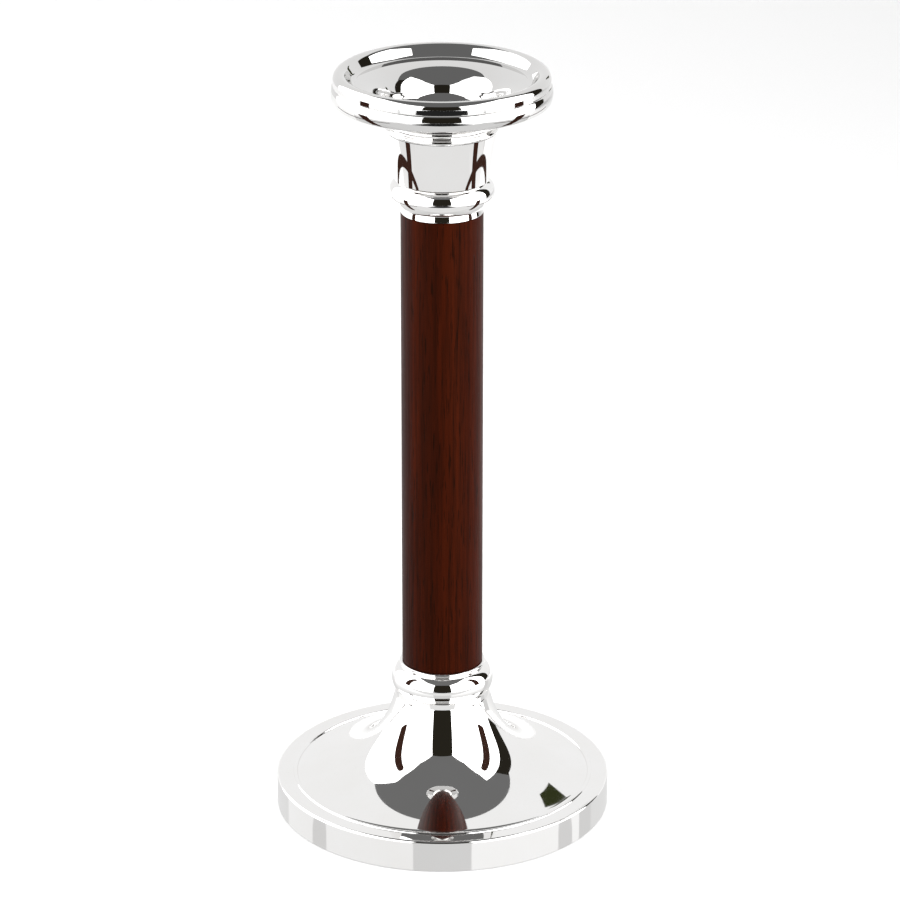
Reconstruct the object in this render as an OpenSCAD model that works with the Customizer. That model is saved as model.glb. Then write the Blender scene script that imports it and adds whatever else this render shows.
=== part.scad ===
// Column candlestick: a turned wooden column clamped between plated metal fittings.
// Origin at the centre of the underside, +Z up, millimetres.

/* [Foot] */
// Radius of the foot at its upright rim
foot_r = 50; // [48:0.5:56]
// Height of the upright rim's top edge
rim_h = 9.8; // [9.4:0.1:10.4]
// Radius of the fine raised ring on top of the foot
ring_r = 44.5; // [43.8:0.1:45.4]
// Thickness of the spun shells
shell_t = 1.2; // [0.8:0.1:1.3]

/* [Column] */
// Radius of the wooden column
column_r = 12; // [11.6:0.1:12.2]
// Length of the wooden column
column_len = 141.5; // [100:0.5:180]
// Radius of the hole bored through the column
column_bore_r = 5; // [3.5:0.1:6]

/* [Beads] */
// Widest radius of the bead below the column
lower_bead_r = 15.2; // [14.6:0.1:16]
// Widest radius of the bead above the column
upper_bead_r = 15.3; // [14.6:0.1:16]

/* [Drip pan] */
// Widest radius of the drip pan
pan_r = 31.9; // [31:0.1:36]

/* [Candle socket] */
// Radius of the straight bore that holds the candle
socket_r = 11.3; // [11:0.05:11.3]
// Depth of the straight bore
socket_depth = 10; // [5:0.5:10.5]

/* [Rod and fastenings] */
// Radius of the tie rod
rod_r = 3; // [2.5:0.5:3]
// Distance across the flats of the nuts
nut_flats = 10; // [9:0.5:11]

/* [Hidden] */
$fn = 72;

// Heights of the foot's layers and of the seats between the stacked fittings
felt_t = 1.2;
rim_foot_z = 0.3;
plate_t = 1;
well_z = 8;
foot_top_z = 35.4;
column_z = 46.5;
column_top_z = column_z + column_len;
bead_z = column_top_z + 2.3;
cup_z = column_top_z + 10;
cup_ring_z = column_top_z + 24.4;
seat_z = column_top_z + 28.2;
pan_seam_z = column_top_z + 38.3;
pan_crest_z = column_top_z + 41.7;
bore_top_z = seat_z + 1;
bore_z = bore_top_z - socket_depth;

// Inner fittings, walls and clearances
bush_r = 8.9;
bush_hole_r = bush_r + 0.1;
bush_depth = 6;
rod_hole_r = rod_r + 0.2;
spacer_r = 8;
well_r = 12;
washer_r = 7;
washer_t = 1.2;
nut_h = 4.5;
wall_t = 1;
cup_foot_r = 13.75;
cup_lean = 1.1;
cup_flare = 1.1;
rod_z = well_z - washer_t - nut_h - 0.6;
rod_top_z = cup_z + wall_t + washer_t + nut_h + 0.5;
socket_wall = 1;
socket_outer_r = socket_r + socket_wall;
seat_clear = 0.06;
seat_gap = 0.05;

// Point at an angle on a circle or an ellipse in the r-z half plane
function oval(r, z, half_w, half_h, from, to, steps = 12) =
    [for (i = [0:steps]) let (a = from + (to - from) * i / steps)
        [r + half_w * cos(a), z + half_h * sin(a)]];
function arc(r, z, radius, from, to, steps = 12) = oval(r, z, radius, radius, from, to, steps);

// Smooth curve through a few stations
function spline(p, steps = 4) = concat(
    [for (i = [0:len(p) - 2], s = [0:steps - 1])
        let (a = p[max(i - 1, 0)], b = p[i], c = p[i + 1], d = p[min(i + 2, len(p) - 1)],
             t = s / steps)
        (2 * b + (c - a) * t + (2 * a - 5 * b + 4 * c - d) * t * t
            + (3 * b - a - 3 * c + d) * t * t * t) / 2],
    [p[len(p) - 1]]);

// The foot's flare: height at radius r, and a point of it moved in by an offset
flare_slope = 0.1;
flare_k = 202;
flare_axis_r = 7.1;
function flare_z(r) = rim_h - 1 - flare_slope * r + flare_k / (r - flare_axis_r);
function flare_point(r, offset) =
    let (fall = flare_slope + flare_k / pow(r - flare_axis_r, 2), n = sqrt(1 + fall * fall))
    [r - offset * fall / n, flare_z(r) - offset / n];
function flare(from, to, offset = 0, steps = 30) =
    [for (i = [0:steps]) flare_point(from * pow(to / from, i / steps), offset)];
neck_r = 14.3;
flare_r = ring_r - 1.1;

// Hollow cylinder standing on a height
module tube(outer, inner, z, height)
    translate([0, 0, z]) difference() {
        cylinder(r = outer, h = height);
        translate([0, 0, -1]) cylinder(r = inner, h = height + 2);
    }

module hex_nut(z)
    translate([0, 0, z]) difference() {
        cylinder(r = nut_flats / sqrt(3), h = nut_h, $fn = 6);
        translate([0, 0, -1]) cylinder(r = rod_r, h = nut_h + 2);
    }

// Solid of revolution with a straight hole bored up its axis
module turned(points, bore_r, z = -1, height = 400)
    difference() {
        rotate_extrude() polygon(points);
        translate([0, 0, z]) cylinder(r = bore_r, h = height);
    }

module felt_pad() color("darkgreen") cylinder(r = foot_r - shell_t - 0.8, h = felt_t);

module base_plate() color("dimgray") difference() {
    union() {
        translate([0, 0, felt_t]) cylinder(r = foot_r - shell_t - 0.3, h = plate_t);
        translate([0, 0, felt_t]) cylinder(r = well_r + plate_t, h = well_z + plate_t - felt_t);
    }
    translate([0, 0, felt_t - 1]) cylinder(r = well_r, h = well_z - felt_t + 1);
    cylinder(r = rod_hole_r, h = 2 * well_z);
}

// Iron ring that follows the underside of the flare
module base_weight() color("darkslategray") {
    outer = foot_r - shell_t - 1;
    low = felt_t + plate_t;
    inner = well_r + 2.5;
    top = flare(flare_r, 27, shell_t + 0.5, 12);
    turned(concat([[0, low], [outer, low], [outer, rim_h - 2.2], [flare_r + 1, rim_h - 2]],
                  top, [[0, top[12][1]]]), inner);
}

module base_shell() color("silver") {
    wall_r = foot_r - shell_t;
    edge = 0.8;
    outside = concat(
        [[wall_r, rim_foot_z], [foot_r, rim_foot_z]],
        arc(foot_r - edge, rim_h - edge, edge, 0, 85, 6),
        arc(ring_r, rim_h - 0.2, 0.6, 15, 165, 8),
        flare(flare_r, neck_r),
        [[neck_r, foot_top_z]]);
    inside = concat(
        [[0, foot_top_z], [0, foot_top_z - shell_t], [spacer_r + 1, foot_top_z - shell_t]],
        flare(neck_r + 0.4, flare_r, shell_t),
        [[ring_r, rim_h - shell_t], [wall_r - 0.6, rim_h - shell_t], [wall_r, rim_h - shell_t - 0.6]]);
    turned(concat(outside, inside), rod_hole_r, z = foot_top_z - 2 * shell_t, height = 4 * shell_t);
}

module base_spacer() color("gray")
    tube(spacer_r, rod_r + 1, well_z + plate_t, foot_top_z - shell_t - well_z - plate_t);

module bottom_nut() color("gray") hex_nut(well_z - washer_t - nut_h);
module bottom_washer() color("gray") tube(washer_r, rod_hole_r, well_z - washer_t, washer_t);

module tie_rod() color("gray")
    translate([0, 0, rod_z]) cylinder(r = rod_r - 0.02, h = rod_top_z - rod_z);

module lower_knuckle() color("silver") difference() {
    centre_z = foot_top_z + 5.2;
    lip_z = column_z - 0.6;
    rotate_extrude() polygon(concat(
        [[0, foot_top_z], [neck_r - 0.3, foot_top_z]],
        oval(11.2, centre_z, lower_bead_r - 11.2, 4.8, -48, 76),
        arc(column_r + 0.3, lip_z, 0.6, -60, 90, 8),
        [[0, column_z]]));
    translate([0, 0, column_z - bush_depth]) cylinder(r = bush_hole_r, h = 2 * bush_depth);
    cylinder(r = rod_hole_r, h = column_z);
}

// Bushes that centre the column on the rod
module lower_bush() color("goldenrod")
    tube(bush_r, rod_hole_r, column_z - bush_depth + 0.2, 2 * bush_depth - 0.4);
module upper_bush() color("goldenrod")
    tube(bush_r, rod_hole_r, column_top_z - bush_depth + 0.2, bush_depth + bead_z - column_top_z - 0.2);

module wood_column() color("maroon") translate([0, 0, column_z]) difference() {
    cylinder(r = column_r, h = column_len);
    translate([0, 0, -1]) cylinder(r = column_bore_r, h = column_len + 2);
    translate([0, 0, -1]) cylinder(r = bush_hole_r, h = bush_depth + 1);
    translate([0, 0, column_len - bush_depth]) cylinder(r = bush_hole_r, h = bush_depth + 1);
}

module upper_collar() color("silver")
    turned([[0, column_top_z], [column_r + 0.05, column_top_z], [column_r + 0.05, column_top_z + 0.2],
            [column_r - 0.35, bead_z], [0, bead_z]], bush_hole_r);

module upper_bead() color("silver") {
    centre_z = bead_z + 3.6;
    turned(concat(
        [[0, bead_z], [column_r - 0.2, bead_z]],
        oval(11.5, centre_z, upper_bead_r - 11.5, 4.1, -60, 72),
        [[12.4, cup_z], [0, cup_z]]), rod_hole_r);
}

// Tulip cup whose wall widens towards its mouth, hollow above its floor
module cup_shell() color("silver") {
    steps = 16;
    wall = [for (i = [0:steps]) let (t = i / steps)
        [cup_foot_r + cup_lean * t + cup_flare * t * t, cup_z + (cup_ring_z - cup_z) * t]];
    floor_z = cup_z + wall_t;
    inside = [for (i = [steps:-1:0]) if (wall[i][1] > floor_z) wall[i] - [wall_t, 0]];
    foot_inside = inside[len(inside) - 1][0];
    turned(concat([[0, cup_z]], wall, inside, [[foot_inside, floor_z], [0, floor_z]]), rod_hole_r);
}

// Step rings round the cup's mouth; the pan's tube slides in the bore
module cup_ring() color("silver")
    turned(concat(
        [[0, cup_ring_z], [15.6, cup_ring_z]],
        arc(15.6, cup_ring_z + 0.7, 0.7, -90, 90, 8),
        [[15.3, cup_ring_z + 1.6], [15.6, cup_ring_z + 2.2]],
        arc(16.1, seat_z - 0.75, 0.75, -120, 90, 8),
        [[0, seat_z]]), socket_outer_r + seat_clear);

module top_washer() color("gray") tube(washer_r, rod_hole_r, cup_z + wall_t, washer_t);
module top_nut() color("gray") hex_nut(cup_z + wall_t + washer_t);

// Closed-bottomed tube under the pan's funnel
module candle_socket() color("silver") difference() {
    translate([0, 0, bore_z - socket_wall]) cylinder(r = socket_outer_r, h = socket_depth + socket_wall);
    translate([0, 0, bore_z]) cylinder(r = socket_r, h = socket_depth + 1);
}

// Cast pan with a two-band rim; its floor dips into a funnel above the socket
module drip_pan() color("silver") {
    z = seat_z + seat_gap;
    crest = 2.2;
    crest_r = pan_r - 2.6;
    crest_z = pan_crest_z - crest;
    wall_angle = 145;
    fillet = 1.8;
    under = [[16.2, 0], [18, 0.7], [21.5, 1.8], [25.5, 3.1], [29, 4.45]];
    floor_line = [[24.84, 0], [22.8, -0.2], [21, -0.55], [19.5, -1], [18.1, -1.66], [16.8, -2.52],
                  [15.7, -3.6], [14.75, -4.95], [14.15, -6.2], [13.6, -7.35], [13, -8], [12.2, -8.55]];
    difference() {
        rotate_extrude() polygon(concat(
            [[0, z]],
            spline([for (s = under) s + [0, z]], 3),
            arc(pan_r - 1.32, pan_seam_z - 4.25, 1, -75, -22, 4),
            arc(pan_r - 5.4, pan_seam_z - 2.6, 5.4, -16, 20, 6),
            arc(pan_r - 1.17, pan_seam_z - 1.06, 0.9, 30, 50, 2),
            [[pan_r - 0.8, pan_seam_z - 0.25], [pan_r - 0.62, pan_seam_z - 0.12]],
            oval(crest_r, crest_z, 2, crest, 0, 90, 7),
            arc(crest_r, crest_z, crest, 103, wall_angle, 4),
            arc(pan_r - 7.06, pan_seam_z + fillet, fillet, wall_angle - 180, -90, 4),
            spline([for (s = floor_line) s + [0, pan_seam_z]], 2),
            [[socket_r, bore_top_z], [0, bore_top_z]]));
        translate([0, 0, z - 1]) cylinder(r = socket_outer_r, h = bore_top_z - z + 1);
    }
}

felt_pad();
base_plate();
base_weight();
base_shell();
base_spacer();
bottom_nut();
bottom_washer();
tie_rod();
lower_knuckle();
lower_bush();
wood_column();
upper_bush();
upper_collar();
upper_bead();
cup_shell();
cup_ring();
top_washer();
top_nut();
candle_socket();
drip_pan();
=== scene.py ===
"""Column candlestick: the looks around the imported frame.

Outlines are half-sections in millimetres, objects are in metres, and +Z is up.
"""
import math

import bpy
import numpy as np
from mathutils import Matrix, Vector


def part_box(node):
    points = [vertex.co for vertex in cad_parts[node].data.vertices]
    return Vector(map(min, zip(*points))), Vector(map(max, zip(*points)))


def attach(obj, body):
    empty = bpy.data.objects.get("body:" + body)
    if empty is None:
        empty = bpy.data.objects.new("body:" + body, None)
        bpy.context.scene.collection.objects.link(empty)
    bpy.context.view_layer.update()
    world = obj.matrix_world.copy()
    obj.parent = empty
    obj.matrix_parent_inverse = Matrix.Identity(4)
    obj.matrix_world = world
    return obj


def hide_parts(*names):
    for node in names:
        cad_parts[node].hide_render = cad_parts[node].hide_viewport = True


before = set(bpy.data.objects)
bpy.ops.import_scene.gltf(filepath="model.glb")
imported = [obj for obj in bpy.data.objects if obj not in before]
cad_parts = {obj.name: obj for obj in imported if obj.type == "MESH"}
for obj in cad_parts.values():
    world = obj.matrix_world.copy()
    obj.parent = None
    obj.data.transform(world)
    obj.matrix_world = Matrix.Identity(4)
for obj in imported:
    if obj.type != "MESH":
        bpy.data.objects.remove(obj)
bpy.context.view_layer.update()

MM = 0.001


# ---------------------------------------------------------------- places, from the frame (mm)

def low(node):
    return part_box(node)[0].z / MM


def high(node):
    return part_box(node)[1].z / MM


def radius(node):
    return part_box(node)[1].x / MM


FOOT_R = radius("base_shell")
FOOT_LOW, FOOT_TOP = low("base_shell"), high("base_shell")
COLUMN_R = radius("wood_column")
COLUMN_LOW, COLUMN_TOP = low("wood_column"), high("wood_column")
LOWER_BEAD_R = radius("lower_knuckle")
UPPER_BEAD_R = radius("upper_bead")
BEAD_LOW, CUP_LOW = low("upper_bead"), high("upper_bead")
CUP_RING_LOW, SEAT = low("cup_ring"), high("cup_ring")
PAN_R = radius("drip_pan")
PAN_LOW, PAN_TOP = low("drip_pan"), high("drip_pan")
PAN_SEAM = PAN_TOP - 3.4
SOCKET_OUTER_R = radius("candle_socket")
SOCKET_LOW, SOCKET_TOP = low("candle_socket"), high("candle_socket")
BUSH_HOLE_R = radius("lower_bush") + 0.1
ROD_HOLE_R = radius("tie_rod") + 0.22
SPACER_R = radius("base_spacer")

# Sizes that the boxes don't give
RIM_H = 9.8
RING_R = 44.5
SHELL_T = 1.2
CUP_WALL = 1.0
CUP_FOOT_R, CUP_LEAN, CUP_FLARE = 13.75, 1.1, 1.1
SOCKET_WALL = 1.0
BUSH_DEPTH = 6.0
COLUMN_BORE_R = 5.0


# ---------------------------------------------------------------- outlines in the r-z half plane

def oval(r, z, half_w, half_h, start, end, steps=24):
    turn = [math.radians(start + (end - start) * i / steps) for i in range(steps + 1)]
    return [(r + half_w * math.cos(a), z + half_h * math.sin(a)) for a in turn]


def arc(r, z, size, start, end, steps=16):
    return oval(r, z, size, size, start, end, steps)


def spline(stations, steps=10):
    """Catmull-Rom curve through a few stations."""
    p = [np.array(s, float) for s in stations]
    p = [p[0]] + p + [p[-1]]
    points = []
    for a, b, c, d in zip(p, p[1:], p[2:], p[3:]):
        for i in range(steps):
            t = i / steps
            q = (2 * b + (c - a) * t + (2 * a - 5 * b + 4 * c - d) * t ** 2
                 + (3 * b - a - 3 * c + d) * t ** 3) / 2
            points.append(tuple(q))
    return points + [tuple(p[-1])]


def up(stations, z):
    """The same stations, higher by z."""
    return [(r, z + h) for r, h in stations]


# The flare's height falls as FLARE_K / (r - FLARE_AXIS_R), with a gentle slope of its own, between
# the neck under the lower bead and the raised ring.
FLARE_SLOPE = 0.1
FLARE_K = 202
FLARE_AXIS_R = 7.1
NECK_R = 14.3
FLARE_R = RING_R - 1.1


def flare(start, end, offset=0.0, steps=70):
    """The foot's flare between two radii, moved in square to itself by an offset."""
    points = []
    for i in range(steps + 1):
        r = start * (end / start) ** (i / steps)
        fall = FLARE_SLOPE + FLARE_K / (r - FLARE_AXIS_R) ** 2
        n = math.hypot(1, fall)
        z = RIM_H - 1 - FLARE_SLOPE * r + FLARE_K / (r - FLARE_AXIS_R)
        points.append((r - offset * fall / n, z - offset / n))
    return points


def foot_outline():
    """Upright rim, raised ring and flare, all one spun shell."""
    wall_r = FOOT_R - SHELL_T
    edge = 0.8
    ring = 0.6
    ease = 0.6
    roof = RIM_H - SHELL_T
    under_top = FOOT_TOP - SHELL_T
    outside = ([(wall_r, FOOT_LOW), (FOOT_R, FOOT_LOW)]
               + arc(FOOT_R - edge, RIM_H - edge, edge, 0, 85)
               + arc(RING_R, RIM_H - 0.2, ring, 15, 165)
               + flare(FLARE_R, NECK_R)
               + [(NECK_R, FOOT_TOP)])
    inside = ([(ROD_HOLE_R, FOOT_TOP), (ROD_HOLE_R, under_top), (SPACER_R + 1, under_top)]
              + flare(NECK_R + 0.4, FLARE_R, SHELL_T)
              + [(RING_R, roof), (wall_r - ease, roof), (wall_r, roof - ease)])
    return outside + inside


def lower_knuckle_outline():
    """Bead with the lip that the wood stands in, bored for the lower bush."""
    bead_axis_r = 11.2
    bead_half_h = 4.8
    lip = 0.6
    bush_seat = COLUMN_LOW - BUSH_DEPTH
    return ([(ROD_HOLE_R, FOOT_TOP), (NECK_R - 0.3, FOOT_TOP)]
            + oval(bead_axis_r, FOOT_TOP + 5.2, LOWER_BEAD_R - bead_axis_r, bead_half_h, -48, 76)
            + arc(COLUMN_R + 0.3, COLUMN_LOW - lip, lip, -60, 90)
            + [(BUSH_HOLE_R, COLUMN_LOW), (BUSH_HOLE_R, bush_seat), (ROD_HOLE_R, bush_seat)])


def column_outline():
    """Straight column with eased ends, bored for the rod and wider at both ends for the bushes."""
    ease = 0.25
    low_seat, high_seat = COLUMN_LOW + BUSH_DEPTH, COLUMN_TOP - BUSH_DEPTH
    return [(COLUMN_BORE_R, low_seat), (BUSH_HOLE_R, low_seat), (BUSH_HOLE_R, COLUMN_LOW),
            (COLUMN_R - ease, COLUMN_LOW), (COLUMN_R, COLUMN_LOW + ease),
            (COLUMN_R, COLUMN_TOP - ease), (COLUMN_R - ease, COLUMN_TOP),
            (BUSH_HOLE_R, COLUMN_TOP), (BUSH_HOLE_R, high_seat), (COLUMN_BORE_R, high_seat)]


def upper_collar_outline():
    """Thin ferrule that narrows upwards from the wood to the bead."""
    foot_r = COLUMN_R + 0.05
    return [(BUSH_HOLE_R, COLUMN_TOP), (foot_r, COLUMN_TOP), (foot_r, COLUMN_TOP + 0.2),
            (COLUMN_R - 0.35, BEAD_LOW), (BUSH_HOLE_R, BEAD_LOW)]


def upper_bead_outline():
    bead_axis_r = 11.5
    bead_half_h = 4.1
    return ([(ROD_HOLE_R, BEAD_LOW), (COLUMN_R - 0.2, BEAD_LOW)]
            + oval(bead_axis_r, BEAD_LOW + 3.6, UPPER_BEAD_R - bead_axis_r, bead_half_h, -60, 72)
            + [(12.4, CUP_LOW), (ROD_HOLE_R, CUP_LOW)])


def cup_outline(steps=24):
    """Tulip wall that flares out towards its mouth, hollow above its floor."""
    height = CUP_RING_LOW - CUP_LOW
    rise = [i / steps for i in range(steps + 1)]
    wall = [(CUP_FOOT_R + CUP_LEAN * t + CUP_FLARE * t * t, CUP_LOW + height * t) for t in rise]
    floor = CUP_LOW + CUP_WALL
    inside = [(r - CUP_WALL, z) for r, z in wall if z > floor]
    return ([(ROD_HOLE_R, CUP_LOW)] + wall + inside[::-1] + [(inside[0][0], floor), (ROD_HOLE_R, floor)])


def cup_ring_outline():
    """Two step rings round the cup's mouth, bored to guide the socket."""
    bore = SOCKET_OUTER_R + 0.06
    lower_ring_r, lower_ring = 15.6, 0.7
    upper_ring_r, upper_ring = 16.1, 0.75
    return ([(bore, CUP_RING_LOW), (lower_ring_r, CUP_RING_LOW)]
            + arc(lower_ring_r, CUP_RING_LOW + lower_ring, lower_ring, -90, 90)
            + [(15.3, CUP_RING_LOW + 1.6), (15.6, CUP_RING_LOW + 2.2)]
            + arc(upper_ring_r, SEAT - upper_ring, upper_ring, -120, 90)
            + [(bore, SEAT)])


def socket_outline():
    """Tube with a closed bottom."""
    inner = SOCKET_OUTER_R - SOCKET_WALL
    floor = SOCKET_LOW + SOCKET_WALL
    return [(0, SOCKET_LOW), (SOCKET_OUTER_R, SOCKET_LOW), (SOCKET_OUTER_R, SOCKET_TOP),
            (inner, SOCKET_TOP), (inner, floor), (0, floor)]


def pan_outline():
    """Underside, rolled rim with its seam, crest, and the floor with its funnel into the socket."""
    inner = SOCKET_OUTER_R - SOCKET_WALL
    crest = 2.2
    wall_angle = 145
    fillet = 1.8
    under = [(16.2, 0), (18, 0.7), (21.5, 1.8), (25.5, 3.1), (29, 4.45)]
    floor = [(24.84, 0), (22.8, -0.2), (21, -0.55), (19.5, -1), (18.1, -1.66), (16.8, -2.52),
             (15.7, -3.6), (14.75, -4.95), (14.15, -6.2), (13.6, -7.35), (13, -8), (12.2, -8.55)]
    return ([(SOCKET_OUTER_R, PAN_LOW)]
            + spline(up(under, PAN_LOW))
            + arc(PAN_R - 1.32, PAN_SEAM - 4.25, 1.0, -75, -22)
            + arc(PAN_R - 5.4, PAN_SEAM - 2.6, 5.4, -22, 20)
            + arc(PAN_R - 1.17, PAN_SEAM - 1.06, 0.9, 20, 50)
            + [(PAN_R - 0.8, PAN_SEAM - 0.25), (PAN_R - 0.62, PAN_SEAM - 0.12)]
            + oval(PAN_R - 2.6, PAN_TOP - crest, 2.0, crest, 0, 90)
            + arc(PAN_R - 2.6, PAN_TOP - crest, crest, 90, wall_angle)
            + arc(PAN_R - 7.06, PAN_SEAM + fillet, fillet, wall_angle - 180, -90)
            + spline(up(floor, PAN_SEAM))
            + [(inner, SOCKET_TOP), (SOCKET_OUTER_R, SOCKET_TOP)])


# ---------------------------------------------------------------- turned meshes

SEGMENTS = 192
CORNER_DEG = 24
SAME_POINT = 1e-4
ON_AXIS = 1e-6


def tidy(outline):
    """Drops points that coincide with the one before."""
    points = []
    for p in outline:
        if not points or math.dist(p, points[-1]) > SAME_POINT:
            points.append(p)
    if math.dist(points[0], points[-1]) < SAME_POINT:
        points.pop()
    return points


def end_normals(points, closed):
    """The normals at both ends of each segment; at a corner each side keeps its own."""
    n = len(points)
    count = n if closed else n - 1
    p = np.array(points)
    run = np.array([p[(i + 1) % n] - p[i] for i in range(count)])
    length = np.hypot(run[:, 0], run[:, 1])
    unit = run / length[:, None]

    def joined(i, j, own):
        if not closed and not (0 <= i < count and 0 <= j < count):
            return unit[own]
        i, j = i % count, j % count
        if unit[i] @ unit[j] < math.cos(math.radians(CORNER_DEG)):
            return unit[own]
        total = run[i] + run[j]
        return total / np.hypot(*total)

    ends = [(joined(i - 1, i, i), joined(i, i + 1, i)) for i in range(count)]
    return [tuple(np.array((t[1], -t[0])) for t in pair) for pair in ends]


def turned(name, outline, finish, body, node):
    """Solid of revolution with exact normals, standing for a CAD node.

    The outline runs anticlockwise in the r-z half plane, so that the normals point out.
    """
    points = tidy(outline)
    on_axis = points[0][0] < ON_AXIS and points[-1][0] < ON_AXIS
    n = len(points)
    normals = end_normals(points, not on_axis)
    angle = [2 * math.pi * i / SEGMENTS for i in range(SEGMENTS)]
    vertices, index = [], {}
    for k, (r, z) in enumerate(points):
        if r < ON_AXIS:
            index[k] = [len(vertices)] * SEGMENTS
            vertices.append((0, 0, z * MM))
            continue
        index[k] = list(range(len(vertices), len(vertices) + SEGMENTS))
        vertices += [(r * MM * math.cos(a), r * MM * math.sin(a), z * MM) for a in angle]
    faces, loops = [], []
    for k, (start, end) in enumerate(normals):
        m = (k + 1) % n
        for i in range(SEGMENTS):
            j = (i + 1) % SEGMENTS
            corners = [(index[k][i], start, i), (index[k][j], start, j),
                       (index[m][j], end, j), (index[m][i], end, i)]
            if points[k][0] < ON_AXIS:
                corners.pop(1)
            elif points[m][0] < ON_AXIS:
                corners.pop(2)
            faces.append([c[0] for c in corners])
            loops += [(t[0] * math.cos(angle[q]), t[0] * math.sin(angle[q]), t[1]) for _, t, q in corners]
    mesh = bpy.data.meshes.new(name)
    mesh.from_pydata(vertices, [], faces)
    mesh.update()
    mesh.shade_smooth()
    mesh.normals_split_custom_set(loops)
    mesh.materials.append(finish)
    piece = bpy.data.objects.new(name, mesh)
    bpy.context.scene.collection.objects.link(piece)
    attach(piece, body)
    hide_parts(node)


# ---------------------------------------------------------------- materials

class Nodes:
    """Short calls for building a node tree."""

    def __init__(self, tree):
        self.tree = tree
        tree.nodes.clear()

    def add(self, kind, **settings):
        node = self.tree.nodes.new(kind)
        for key, value in settings.items():
            setattr(node, key, value)
        return node

    def put(self, socket, value):
        if isinstance(value, bpy.types.NodeSocket):
            self.tree.links.new(value, socket)
        else:
            socket.default_value = value

    def math(self, operation, *values):
        node = self.add("ShaderNodeMath", operation=operation)
        for socket, value in zip(node.inputs, values):
            self.put(socket, value)
        return node.outputs[0]

    def mapping(self, vector, scale):
        node = self.add("ShaderNodeMapping")
        self.put(node.inputs["Vector"], vector)
        node.inputs["Scale"].default_value = scale
        return node.outputs[0]

    def noise(self, vector, scale, detail=3.0, roughness=0.5):
        node = self.add("ShaderNodeTexNoise")
        self.put(node.inputs["Vector"], vector)
        node.inputs["Scale"].default_value = scale
        node.inputs["Detail"].default_value = detail
        node.inputs["Roughness"].default_value = roughness
        return node.outputs["Fac"]

    def ramp(self, fac, *stops):
        """Colour ramp through (position, colour or value) stops."""
        node = self.add("ShaderNodeValToRGB")
        elements = node.color_ramp.elements
        while len(elements) < len(stops):
            elements.new(0.5)
        for element, (position, colour) in zip(elements, stops):
            element.position = position
            element.color = (*colour, 1) if isinstance(colour, tuple) else (colour, colour, colour, 1)
        self.put(node.inputs["Fac"], fac)
        return node.outputs["Color"]

    def mix(self, fac, a, b):
        """Mix of two colours; a Mix node's colour sockets come after its number and vector ones."""
        node = self.add("ShaderNodeMix", data_type="RGBA")
        self.put(node.inputs["Factor"], fac)
        for socket, value in ((node.inputs[6], a), (node.inputs[7], b)):
            self.put(socket, (*value, 1) if isinstance(value, tuple) else value)
        return node.outputs[2]

    def span(self, value, from_low, from_high, to_low, to_high):
        """Maps one range of values to another."""
        node = self.add("ShaderNodeMapRange")
        for socket, number in zip(node.inputs, (value, from_low, from_high, to_low, to_high)):
            self.put(socket, number)
        return node.outputs[0]

    def bump(self, height, strength, distance):
        node = self.add("ShaderNodeBump")
        self.put(node.inputs["Height"], height)
        node.inputs["Strength"].default_value = strength
        node.inputs["Distance"].default_value = distance
        return node.outputs[0]


def material(name):
    """A new material: its Nodes, its Principled shader and the object's own coordinates."""
    made = bpy.data.materials.new(name)
    made.use_nodes = True
    nodes = Nodes(made.node_tree)
    shader = nodes.add("ShaderNodeBsdfPrincipled")
    out = nodes.add("ShaderNodeOutputMaterial")
    nodes.put(out.inputs["Surface"], shader.outputs["BSDF"])
    place = nodes.add("ShaderNodeTexCoord").outputs["Object"]
    return made, nodes, shader, place


def silver_plate(name, tone):
    """Mirror-polished plate of a tone, with faint polishing haze, wipe marks and a buffed waviness."""
    made, nodes, shader, place = material(name)
    haze = nodes.noise(place, 45, detail=5, roughness=0.6)
    wipe = nodes.noise(nodes.mapping(place, (260, 260, 1400)), 1, detail=4)
    dull, bright = (0.97 * tone, 0.96 * tone, 0.945 * tone), (tone, 0.995 * tone, 0.99 * tone)
    colour = nodes.ramp(haze, (0.3, dull), (0.7, bright))
    nodes.put(shader.inputs["Base Color"], colour)
    shader.inputs["Metallic"].default_value = 1.0
    haze_rough = nodes.span(haze, 0.35, 0.75, 0.012, 0.04)
    wipe_rough = nodes.span(wipe, 0.4, 0.8, 0.0, 0.02)
    nodes.put(shader.inputs["Roughness"], nodes.math("ADD", haze_rough, wipe_rough))
    wave = nodes.noise(place, 70, detail=1)
    nodes.put(shader.inputs["Normal"], nodes.bump(wave, 1.0, 0.000006))
    return made


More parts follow.
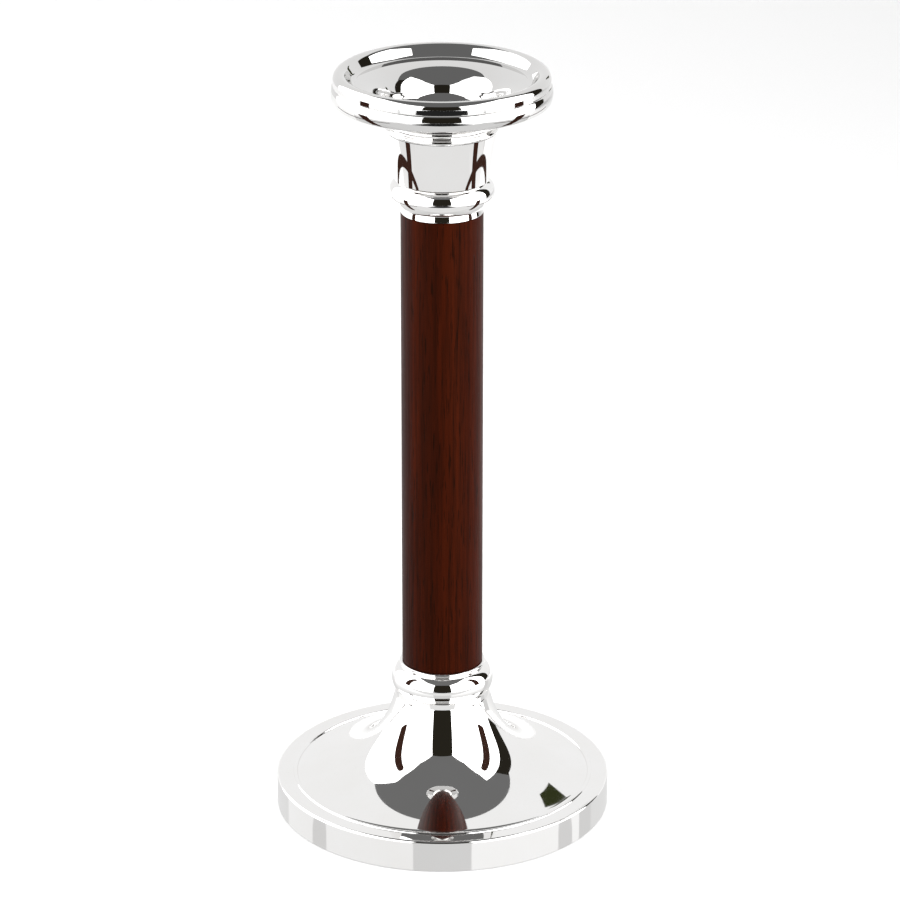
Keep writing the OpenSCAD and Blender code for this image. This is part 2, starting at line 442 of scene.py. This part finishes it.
def mahogany():
    """Dark red mahogany: long vertical grain, short open pores, satin lacquer."""
    made, nodes, shader, place = material("mahogany")
    grain = nodes.noise(nodes.mapping(place, (95, 95, 3.2)), 1, detail=6, roughness=0.62)
    band = nodes.noise(nodes.mapping(place, (40, 40, 2.2)), 1, detail=2)
    fine = nodes.noise(nodes.mapping(place, (900, 900, 22)), 1, detail=3, roughness=0.7)
    pores = nodes.noise(nodes.mapping(place, (2100, 2100, 110)), 1, detail=2, roughness=0.6)
    base = nodes.ramp(grain, (0.3, (0.014, 0.0013, 0.0002)), (0.5, (0.027, 0.0026, 0.0004)),
                      (0.7, (0.056, 0.0068, 0.001)))
    warm = nodes.mix(nodes.span(band, 0.35, 0.7, 0.0, 0.5), base, (0.038, 0.0042, 0.0006))
    streaked = nodes.mix(nodes.span(fine, 0.42, 0.66, 0.0, 0.7), warm, (0.011, 0.0012, 0.0003))
    pore_mask = nodes.span(pores, 0.58, 0.66, 0.0, 1.0)
    colour = nodes.mix(nodes.math("MULTIPLY", pore_mask, 0.7), streaked, (0.003, 0.0006, 0.0003))
    nodes.put(shader.inputs["Base Color"], colour)
    nodes.put(shader.inputs["Roughness"], nodes.span(fine, 0.3, 0.7, 0.38, 0.5))
    shader.inputs["Specular IOR Level"].default_value = 0.06
    shader.inputs["Specular Tint"].default_value = (1, 0.6, 0.35, 1)
    height = nodes.math("SUBTRACT", nodes.math("MULTIPLY", fine, 0.35), pore_mask)
    nodes.put(shader.inputs["Normal"], nodes.bump(height, 0.5, 0.00005))
    return made


def baize():
    """Green baize: matted short fibres with a soft sheen."""
    made, nodes, shader, place = material("baize")
    fibre = nodes.noise(place, 2600, detail=6, roughness=0.7)
    patch = nodes.noise(place, 60, detail=3)
    tone = nodes.mix(nodes.span(patch, 0.3, 0.7, 0, 1), (0.008, 0.05, 0.024), (0.012, 0.066, 0.034))
    colour = nodes.mix(nodes.span(fibre, 0.35, 0.65, 0, 1), tone, (0.024, 0.105, 0.058))
    nodes.put(shader.inputs["Base Color"], colour)
    shader.inputs["Roughness"].default_value = 0.95
    shader.inputs["Sheen Weight"].default_value = 0.5
    shader.inputs["Sheen Roughness"].default_value = 0.6
    nodes.put(shader.inputs["Normal"], nodes.bump(fibre, 0.8, 0.00025))
    return made


def zinc_steel():
    """Zinc-plated steel: turned marks and dull blotches."""
    made, nodes, shader, place = material("zinc_steel")
    blotch = nodes.noise(place, 220, detail=5)
    marks = nodes.noise(nodes.mapping(place, (300, 300, 5200)), 1, detail=3)
    colour = nodes.ramp(blotch, (0.3, (0.36, 0.37, 0.38)), (0.7, (0.52, 0.52, 0.51)))
    nodes.put(shader.inputs["Base Color"], colour)
    shader.inputs["Metallic"].default_value = 1.0
    nodes.put(shader.inputs["Roughness"], nodes.span(blotch, 0.3, 0.7, 0.28, 0.45))
    nodes.put(shader.inputs["Normal"], nodes.bump(marks, 0.4, 0.00004))
    return made


def cast_iron():
    """Sand-cast iron: coarse dark skin with a few rust-brown patches."""
    made, nodes, shader, place = material("cast_iron")
    sand = nodes.noise(place, 900, detail=6, roughness=0.65)
    patch = nodes.noise(place, 70, detail=4)
    skin = nodes.ramp(sand, (0.3, (0.03, 0.03, 0.032)), (0.7, (0.085, 0.083, 0.08)))
    colour = nodes.mix(nodes.span(patch, 0.55, 0.75, 0, 0.6), skin, (0.09, 0.035, 0.016))
    nodes.put(shader.inputs["Base Color"], colour)
    shader.inputs["Metallic"].default_value = 0.6
    nodes.put(shader.inputs["Roughness"], nodes.span(sand, 0.3, 0.7, 0.6, 0.85))
    nodes.put(shader.inputs["Normal"], nodes.bump(sand, 0.8, 0.0003))
    return made


def turned_brass():
    """Plain turned brass with fine tool marks and a brown patina."""
    made, nodes, shader, place = material("turned_brass")
    marks = nodes.noise(nodes.mapping(place, (200, 200, 6000)), 1, detail=3)
    patina = nodes.noise(place, 150, detail=4)
    colour = nodes.ramp(patina, (0.3, (0.42, 0.25, 0.08)), (0.65, (0.72, 0.5, 0.2)))
    nodes.put(shader.inputs["Base Color"], colour)
    shader.inputs["Metallic"].default_value = 1.0
    nodes.put(shader.inputs["Roughness"], nodes.span(patina, 0.3, 0.7, 0.42, 0.22))
    nodes.put(shader.inputs["Normal"], nodes.bump(marks, 0.5, 0.00004))
    return made


# ---------------------------------------------------------------- pieces

# The pan is the same silver plate in a darker copy: painted shade, for the dimmer light that its floor
# mirrors.
PLATE_TONE, PAN_SHADED_TONE = 0.91, 0.74

silver = silver_plate("silver_plate", PLATE_TONE)
pan_silver_painted_shade = silver_plate("pan_plate_painted_shade", PAN_SHADED_TONE)
TURNED = [
    ("foot", foot_outline, silver, "stand", "silver_plate", "base_shell"),
    ("knuckle", lower_knuckle_outline, silver, "stand", "silver_plate", "lower_knuckle"),
    ("shaft", column_outline, mahogany(), "stand", "mahogany", "wood_column"),
    ("collar", upper_collar_outline, silver, "stand", "silver_plate", "upper_collar"),
    ("bead", upper_bead_outline, silver, "stand", "silver_plate", "upper_bead"),
    ("cup", cup_outline, silver, "stand", "silver_plate", "cup_shell"),
    ("cup_mouth", cup_ring_outline, silver, "stand", "silver_plate", "cup_ring"),
    ("socket", socket_outline, silver, "nozzle", "silver_plate", "candle_socket"),
    ("pan", pan_outline, pan_silver_painted_shade, "nozzle", "silver_plate", "drip_pan"),
]
for name, outline, finish, body, slot, node in TURNED:
    turned(name, outline(), finish, body, node)

steel, brass = zinc_steel(), turned_brass()
HIDDEN_FINISH = {"felt_pad": baize(), "base_weight": cast_iron(), "lower_bush": brass, "upper_bush": brass}
for node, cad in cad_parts.items():
    if not cad.hide_render:
        cad.data.materials.clear()
        cad.data.materials.append(HIDDEN_FINISH.get(node, steel))


# ---------------------------------------------------------------- studio

# The camera stands where the photographer's did: metres and degrees, and millimetres for the lens.
CAMERA_AT = (0.0023, -1.208, 0.595)
CAMERA_PITCH = 21.73
CAMERA_LENS = 176.5
SENSOR_WIDTH = 36

# The tent, in metres times TENT: the right half of its plan from the front round to the back, its
# height, half its ceiling's width, and how far the floor and the backdrop reach to the right. The
# left softbox follows the whole plan; the right one stops after its first points and leaves a gap.
TENT = 0.9
TENT_SIDE = [(0.67, -1.85), (1.03, -0.99), (1.02, -0.39), (1.01, 0), (0.94, 0.31), (0.92, 0.41),
             (1.09, 1.07)]
TENT_TOP = 1.9 * TENT
CEILING_X = 1.4 * TENT
TENT_REACH = 1.5 * TENT
RIGHT_SOFTBOX_POINTS = 5

# Brightness of each part of the studio, and the painted reflections of floor, mat and what stands in it
SOFTBOX_LEFT, SOFTBOX_RIGHT, BACKDROP = 2.6, 3.3, 0.95
CEILING, NEAR_FLOOR_REFLECTION, FRONT_FLOOR_REFLECTION, DARK_MAT_REFLECTION = 0.16, 0.7, 0.85, 0.022
OUTSIDE = (0.02, 0.0175, 0.0125)
BROWN_WOOD_REFLECTION = (0.045, 0.02, 0.014)
GREEN_CARD_REFLECTION = (0.03, 0.035, 0.012)

# Where the painted reflections lie, in metres: of the floor round the foot and in front of it, of the
# dark mat beyond it, of a small green card, of the edges of the tables, and of the two columns beside
# this one. Level pieces lie a few layers above the paper.
FLOOR_X, NEAR_FLOOR_Y, FRONT_FLOOR_Y = (-0.5, 0.5), (-0.12, 0.12), (-0.5, -0.12)
MAT_X, MAT_Y = (-0.31, 0.31), (-1.6, -0.5)
CARD_X, CARD_Y, CARD_Z = (0.146, 0.178), 0.3, (0.258, 0.335)
TABLE_EDGE_X, TABLE_EDGE_HALF_W, TABLE_EDGE_Y = 0.367, 0.016, (-0.25, 0.42)
NEIGHBOUR_X, NEIGHBOUR_Y, NEIGHBOUR_R, NEIGHBOUR_SIDES = 0.14, -0.024, 0.015, 24
LAYER = 0.0002


def add_camera():
    camera = bpy.data.objects.new("camera", bpy.data.cameras.new("camera"))
    bpy.context.scene.collection.objects.link(camera)
    camera.location = CAMERA_AT
    camera.rotation_euler = (math.radians(90 - CAMERA_PITCH), 0, 0)
    camera.data.sensor_width = SENSOR_WIDTH
    camera.data.lens = CAMERA_LENS
    camera.data.clip_end = 50
    bpy.context.scene.camera = camera


def stage_mesh(name, corners, faces, finish):
    """A piece of the studio, which isn't part of the object."""
    mesh = bpy.data.meshes.new(name)
    mesh.from_pydata(corners, [], faces)
    mesh.materials.append(finish)
    obj = bpy.data.objects.new(name, mesh)
    bpy.context.scene.collection.objects.link(obj)
    return obj


def paper():
    """Matt white paper with a faint grain."""
    made, nodes, shader, place = material("paper")
    grain = nodes.noise(place, 900, detail=3)
    nodes.put(shader.inputs["Base Color"], nodes.ramp(grain, (0.3, 0.92), (0.7, 0.94)))
    shader.inputs["Roughness"].default_value = 0.9
    shader.inputs["Specular IOR Level"].default_value = 0.1
    return made


def glow(name, colour):
    """An even glow, whatever the light."""
    made = bpy.data.materials.new(name)
    made.use_nodes = True
    nodes = Nodes(made.node_tree)
    shader = nodes.add("ShaderNodeEmission")
    shader.inputs["Color"].default_value = (*colour, 1)
    out = nodes.add("ShaderNodeOutputMaterial")
    nodes.put(out.inputs["Surface"], shader.outputs[0])
    return made


def glossy_glow(name, colour):
    """Painted reflection of the floor: glow under a gloss, so that the foot's wall shows the softboxes
    mirrored in the floor.
    """
    made, _, shader, _ = material(name)
    shader.inputs["Base Color"].default_value = (0, 0, 0, 1)
    shader.inputs["Roughness"].default_value = 0.06
    shader.inputs["Specular IOR Level"].default_value = 0.38
    shader.inputs["Emission Color"].default_value = (*colour, 1)
    shader.inputs["Emission Strength"].default_value = 1.0
    return made


def screen(name, path, bottom, top, colour):
    """Upright glowing screen over a path on the floor, not seen by the camera."""
    n = len(path)
    corners = [(x, y, z) for z in (bottom, top) for x, y in path]
    faces = [(i, i + 1, n + i + 1, n + i) for i in range(n - 1)]
    obj = stage_mesh(name, corners, faces, glow(name, colour))
    obj.visible_camera = False
    return obj


def sheet(name, x_range, y_range, z, colour, finish=glow):
    """Level glowing panel, not seen by the camera."""
    (x0, x1), (y0, y1) = x_range, y_range
    corners = [(x0, y0, z), (x1, y0, z), (x1, y1, z), (x0, y1, z)]
    obj = stage_mesh(name, corners, [(0, 1, 2, 3)], finish(name, colour))
    obj.visible_camera = False
    return obj


def only_mirrored(obj):
    """Keeps a studio piece out of the lighting: only polished metal shows it."""
    obj.visible_diffuse = obj.visible_shadow = False


def grey(value):
    return (value, value, value)


def add_tent():
    """White tent open at the front: two bowed softboxes, a pale back, a grey top and a paper floor."""
    side = [(x * TENT, y * TENT) for x, y in TENT_SIDE]
    front, back = side[0][1], side[-1][1]
    mirrored = [(-x, y) for x, y in side]
    right = side[:RIGHT_SOFTBOX_POINTS]
    rim = mirrored + [(TENT_REACH, back)] + right[::-1]
    stage_mesh("floor", [(x, y, 0) for x, y in rim[::-1]], [range(len(rim))], paper())
    screen("softbox_left", mirrored, 0, TENT_TOP, grey(SOFTBOX_LEFT))
    screen("softbox_right", right, 0, TENT_TOP, grey(SOFTBOX_RIGHT))
    screen("backdrop", [(mirrored[-1][0], back), (TENT_REACH, back)], 0, TENT_TOP, grey(BACKDROP))
    sheet("ceiling", (-CEILING_X, CEILING_X), (front, back), TENT_TOP, grey(CEILING))


def add_painted_reflections():
    """Painted reflections of the studio besides the tent: glows that only the polished metal shows."""
    # Painted reflection of the floor round the foot, darker than the paper that the camera sees.
    only_mirrored(sheet("near_floor_reflection", FLOOR_X, NEAR_FLOOR_Y, LAYER, grey(NEAR_FLOOR_REFLECTION), glossy_glow))
    # Painted reflection of the floor in front of the foot.
    only_mirrored(sheet("front_floor_reflection", FLOOR_X, FRONT_FLOOR_Y, LAYER, grey(FRONT_FLOOR_REFLECTION)))
    # Painted reflection of a dark mat in front of the tent.
    only_mirrored(sheet("front_mat_reflection", MAT_X, MAT_Y, 5 * LAYER, grey(DARK_MAT_REFLECTION)))
    # Painted reflection of a small green card behind the object.
    only_mirrored(screen("card_reflection", [(x, CARD_Y) for x in CARD_X], *CARD_Z, GREEN_CARD_REFLECTION))
    # Painted reflections of the brown edges of the tables.
    for x in (-TABLE_EDGE_X, TABLE_EDGE_X):
        edge_x = (x - TABLE_EDGE_HALF_W, x + TABLE_EDGE_HALF_W)
        only_mirrored(sheet("table_edge_reflection", edge_x, TABLE_EDGE_Y, 5 * LAYER, BROWN_WOOD_REFLECTION))
    # Painted reflections of the two wooden columns beside this one.
    turn = [2 * math.pi * i / NEIGHBOUR_SIDES for i in range(NEIGHBOUR_SIDES + 1)]
    for x in (-NEIGHBOUR_X, NEIGHBOUR_X):
        path = [(x + NEIGHBOUR_R * math.cos(a), NEIGHBOUR_Y + NEIGHBOUR_R * math.sin(a)) for a in turn]
        only_mirrored(screen("neighbour_column_reflection", path, COLUMN_LOW * MM, COLUMN_TOP * MM, BROWN_WOOD_REFLECTION))


def add_world():
    """White behind everything the camera sees; a dark room for all other rays."""
    world = bpy.data.worlds.new("studio")
    bpy.context.scene.world = world
    world.use_nodes = True
    nodes = Nodes(world.node_tree)
    shader = nodes.add("ShaderNodeBackground")
    out = nodes.add("ShaderNodeOutputWorld")
    seen = nodes.add("ShaderNodeLightPath").outputs["Is Camera Ray"]
    nodes.put(shader.inputs["Color"], nodes.mix(seen, OUTSIDE, grey(1.0)))
    nodes.put(out.inputs["Surface"], shader.outputs[0])


add_camera()
add_tent()
add_painted_reflections()
add_world()
bpy.context.scene.view_settings.view_transform = "Standard"
bpy.context.scene.view_settings.look = "None"
